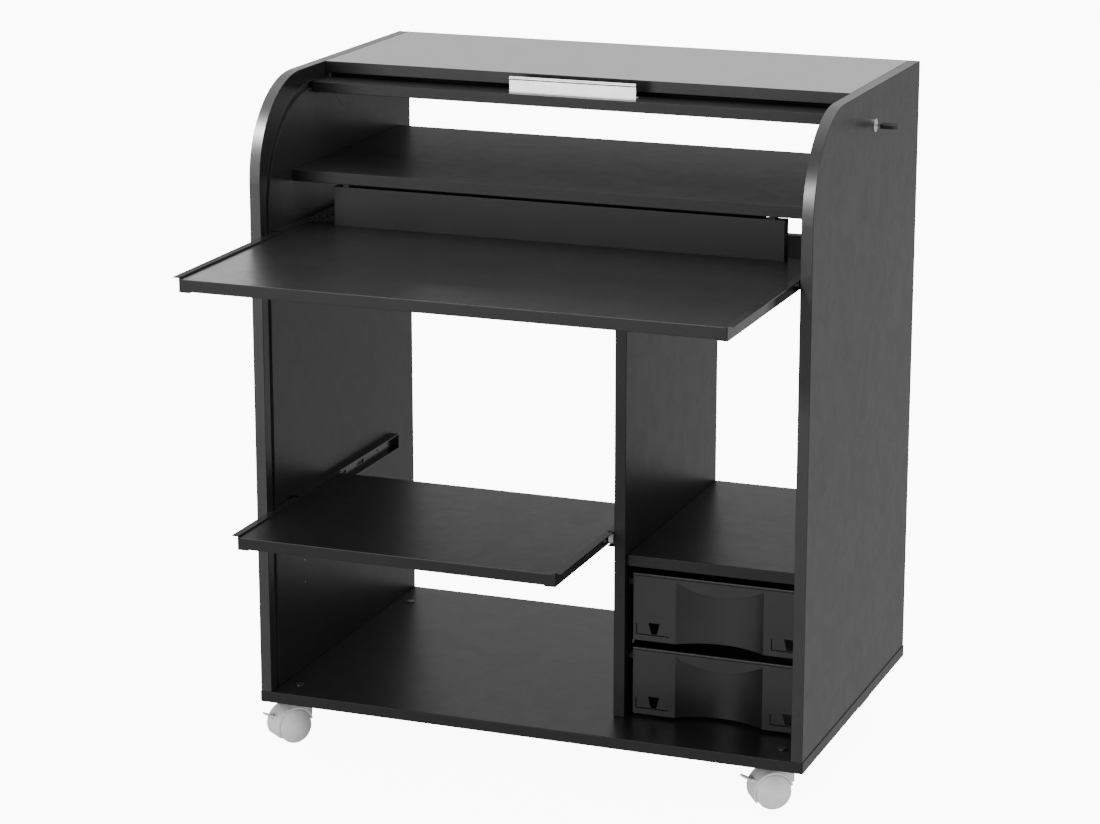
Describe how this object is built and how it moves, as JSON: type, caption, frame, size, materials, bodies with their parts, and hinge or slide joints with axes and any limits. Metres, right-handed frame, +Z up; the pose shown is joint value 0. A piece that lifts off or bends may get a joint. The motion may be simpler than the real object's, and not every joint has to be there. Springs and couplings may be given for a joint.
{
  "type": "computer desk",
  "caption": "Black computer desk on castors with a roller shutter, pull-out keyboard and printer trays, moulded drawers and a side lock.",
  "frame": {"origin": "floor level under the middle of the overall box, keyboard tray pulled out", "axes": "+Z up, -Y towards the user, +X to the user's right"},
  "size_m": [0.8222, 0.773, 0.9345],
  "materials": {
    "board": "satin black coating on chipboard",
    "liner": "matte",
    "slat": "satin",
    "cloth": "woven",
    "aluminium": "anodised",
    "steel": "bright zinc",
    "runner_steel": "black powder coat",
    "nylon": "natural nylon",
    "buffer": "matte",
    "felt": "felt",
    "drawer_plastic": "moulded satin",
    "castor_grey": "semi-gloss",
    "chrome": "polished",
    "key_plastic": "moulded"
  },
  "bodies": {
    "frame": {"side_panel_left": "board", "side_panel_right": "board", "shutter_track_left": "liner", "shutter_track_right": "liner", "bottom_panel": "board", "top_panel": "board", "upper_shelf": "board", "right_shelf": "board", "cam_fittings": "steel", "dust_strip": "felt", "centre_divider": "board", "rear_stretcher": "board", "keyboard_rail_left": "runner_steel", "keyboard_rail_right": "runner_steel", "printer_rail_left": "runner_steel", "printer_rail_right": "runner_steel", "drawer_guides": "drawer_plastic", "castor_stems": "steel", "lock_case": "chrome"},
    "keyboard_tray_body": {"keyboard_tray": "board", "keyboard_upstand": "board", "upstand_buffers": "buffer", "keyboard_runner_left": "runner_steel", "keyboard_runner_right": "runner_steel"},
    "keyboard_front_rollers_body": {"keyboard_front_rollers": "nylon"},
    "keyboard_rear_rollers_body": {"keyboard_rear_rollers": "nylon"},
    "printer_tray_body": {"printer_tray": "board", "printer_runner_left": "runner_steel", "printer_runner_right": "runner_steel"},
    "printer_front_rollers_body": {"printer_front_rollers": "nylon"},
    "printer_rear_rollers_body": {"printer_rear_rollers": "nylon"},
    "upper_drawer_body": {"upper_drawer": "drawer_plastic"},
    "lower_drawer_body": {"lower_drawer": "drawer_plastic"},
    "shutter_body": {"shutter_end_bar": "board", "shutter_slats": "slat", "shutter_backing": "cloth", "shutter_handle": "aluminium", "handle_screws": "steel"},
    "lock_body": {"lock_barrel": "chrome", "lock_cam": "chrome"},
    "key_body": {"key_blade": "chrome", "key_bow": "key_plastic"},
    "castor_front_left": {"castor_hood_front_left": "castor_grey", "castor_axle_front_left": "steel"},
    "castor_front_left_wheel_inner": {"castor_wheel_front_left_inner": "castor_grey"},
    "castor_front_left_wheel_outer": {"castor_wheel_front_left_outer": "castor_grey"},
    "castor_front_left_brake": {"castor_brake_front_left": "castor_grey"},
    "castor_front_right": {"castor_hood_front_right": "castor_grey", "castor_axle_front_right": "steel"},
    "castor_front_right_wheel_inner": {"castor_wheel_front_right_inner": "castor_grey"},
    "castor_front_right_wheel_outer": {"castor_wheel_front_right_outer": "castor_grey"},
    "castor_front_right_brake": {"castor_brake_front_right": "castor_grey"},
    "castor_rear_left": {"castor_hood_rear_left": "castor_grey", "castor_axle_rear_left": "steel"},
    "castor_rear_left_wheel_inner": {"castor_wheel_rear_left_inner": "castor_grey"},
    "castor_rear_left_wheel_outer": {"castor_wheel_rear_left_outer": "castor_grey"},
    "castor_rear_right": {"castor_hood_rear_right": "castor_grey", "castor_axle_rear_right": "steel"},
    "castor_rear_right_wheel_inner": {"castor_wheel_rear_right_inner": "castor_grey"},
    "castor_rear_right_wheel_outer": {"castor_wheel_rear_right_outer": "castor_grey"}
  },
  "joints": [
    {"name": "keyboard_slide", "type": "slide", "parent": "frame", "child": "keyboard_tray_body", "axis": [0, 1, 0], "range_m": [0, 0.295]},
    {"name": "keyboard_front_roll", "type": "hinge", "parent": "frame", "child": "keyboard_front_rollers_body", "pos_m": [-0.01586, -0.0785, 0.7175], "axis": [1, 0, 0], "range_deg": [-1890, 10]},
    {"name": "keyboard_rear_roll", "type": "hinge", "parent": "keyboard_tray_body", "child": "keyboard_rear_rollers_body", "pos_m": [-0.01586, 0.0015, 0.7175], "axis": [1, 0, 0], "range_deg": [-1890, 10]},
    {"name": "printer_slide", "type": "slide", "parent": "frame", "child": "printer_tray_body", "axis": [0, 1, 0], "range_m": [-0.06, 0.195]},
    {"name": "printer_front_roll", "type": "hinge", "parent": "frame", "child": "printer_front_rollers_body", "pos_m": [-0.01586, -0.0315, 0.3305], "axis": [1, 0, 0], "range_deg": [-1260, 400]},
    {"name": "printer_rear_roll", "type": "hinge", "parent": "printer_tray_body", "child": "printer_rear_rollers_body", "pos_m": [-0.01586, 0.0915, 0.3305], "axis": [1, 0, 0], "range_deg": [-1260, 400]},
    {"name": "upper_drawer_slide", "type": "slide", "parent": "frame", "child": "upper_drawer_body", "axis": [0, -1, 0], "range_m": [0, 0.25]},
    {"name": "lower_drawer_slide", "type": "slide", "parent": "frame", "child": "lower_drawer_body", "axis": [0, -1, 0], "range_m": [0, 0.25]},
    {"name": "shutter_turn", "type": "hinge", "parent": "frame", "child": "shutter_body", "pos_m": [-0.01586, 0.0475, 0.7595], "axis": [1, 0, 0], "range_deg": [0, 90]},
    {"name": "lock_turn", "type": "hinge", "parent": "frame", "child": "lock_body", "pos_m": [0.37814, 0.15297, 0.88299], "axis": [1, 0, 0], "range_deg": [-90, 0]},
    {"name": "key_pull", "type": "slide", "parent": "lock_body", "child": "key_body", "axis": [1, 0, 0], "range_m": [0, 0.025]},
    {"name": "castor_front_left_swivel", "type": "hinge", "parent": "frame", "child": "castor_front_left", "pos_m": [-0.36986, -0.0815, 0.0625], "axis": [0, 0, 1], "continuous": true},
    {"name": "castor_front_left_roll_inner", "type": "hinge", "parent": "castor_front_left", "child": "castor_front_left_wheel_inner", "pos_m": [-0.37971, -0.09411, 0.0245], "axis": [0.788, -0.6157, 0], "continuous": true},
    {"name": "castor_front_left_roll_outer", "type": "hinge", "parent": "castor_front_left", "child": "castor_front_left_wheel_outer", "pos_m": [-0.37971, -0.09411, 0.0245], "axis": [0.788, -0.6157, 0], "continuous": true},
    {"name": "castor_front_left_brake", "type": "hinge", "parent": "castor_front_left", "child": "castor_front_left_brake", "pos_m": [-0.39532, -0.11408, 0.03797], "axis": [0.788, -0.6157, 0], "range_deg": [0, 14]},
    {"name": "castor_front_right_swivel", "type": "hinge", "parent": "frame", "child": "castor_front_right", "pos_m": [0.33814, -0.0815, 0.0625], "axis": [0, 0, 1], "continuous": true},
    {"name": "castor_front_right_roll_inner", "type": "hinge", "parent": "castor_front_right", "child": "castor_front_right_wheel_inner", "pos_m": [0.32487, -0.09045, 0.0245], "axis": [0.5592, -0.829, 0], "continuous": true},
    {"name": "castor_front_right_roll_outer", "type": "hinge", "parent": "castor_front_right", "child": "castor_front_right_wheel_outer", "pos_m": [0.32487, -0.09045, 0.0245], "axis": [0.5592, -0.829, 0], "continuous": true},
    {"name": "castor_front_right_brake", "type": "hinge", "parent": "castor_front_right", "child": "castor_front_right_brake", "pos_m": [0.30386, -0.10462, 0.03797], "axis": [0.5592, -0.829, 0], "range_deg": [0, 14]},
    {"name": "castor_rear_left_swivel", "type": "hinge", "parent": "frame", "child": "castor_rear_left", "pos_m": [-0.36986, 0.3145, 0.0625], "axis": [0, 0, 1], "continuous": true},
    {"name": "castor_rear_left_roll_inner", "type": "hinge", "parent": "castor_rear_left", "child": "castor_rear_left_wheel_inner", "pos_m": [-0.37481, 0.29928, 0.0245], "axis": [0.9511, -0.309, 0], "continuous": true},
    {"name": "castor_rear_left_roll_outer", "type": "hinge", "parent": "castor_rear_left", "child": "castor_rear_left_wheel_outer", "pos_m": [-0.37481, 0.29928, 0.0245], "axis": [0.9511, -0.309, 0], "continuous": true},
    {"name": "castor_rear_right_swivel", "type": "hinge", "parent": "frame", "child": "castor_rear_right", "pos_m": [0.33814, 0.3145, 0.0625], "axis": [0, 0, 1], "continuous": true},
    {"name": "castor_rear_right_roll_inner", "type": "hinge", "parent": "castor_rear_right", "child": "castor_rear_right_wheel_inner", "pos_m": [0.32214, 0.3145, 0.0245], "axis": [0, -1, 0], "continuous": true},
    {"name": "castor_rear_right_roll_outer", "type": "hinge", "parent": "castor_rear_right", "child": "castor_rear_right_wheel_outer", "pos_m": [0.32214, 0.3145, 0.0245], "axis": [0, -1, 0], "continuous": true}
  ],
  "couplings": [
    {"joint": "keyboard_front_roll", "follows": "keyboard_slide", "rad_per_m": -111.11},
    {"joint": "keyboard_rear_roll", "follows": "keyboard_slide", "rad_per_m": -111.11},
    {"joint": "printer_front_roll", "follows": "printer_slide", "rad_per_m": -111.11},
    {"joint": "printer_rear_roll", "follows": "printer_slide", "rad_per_m": -111.11}
  ]
}
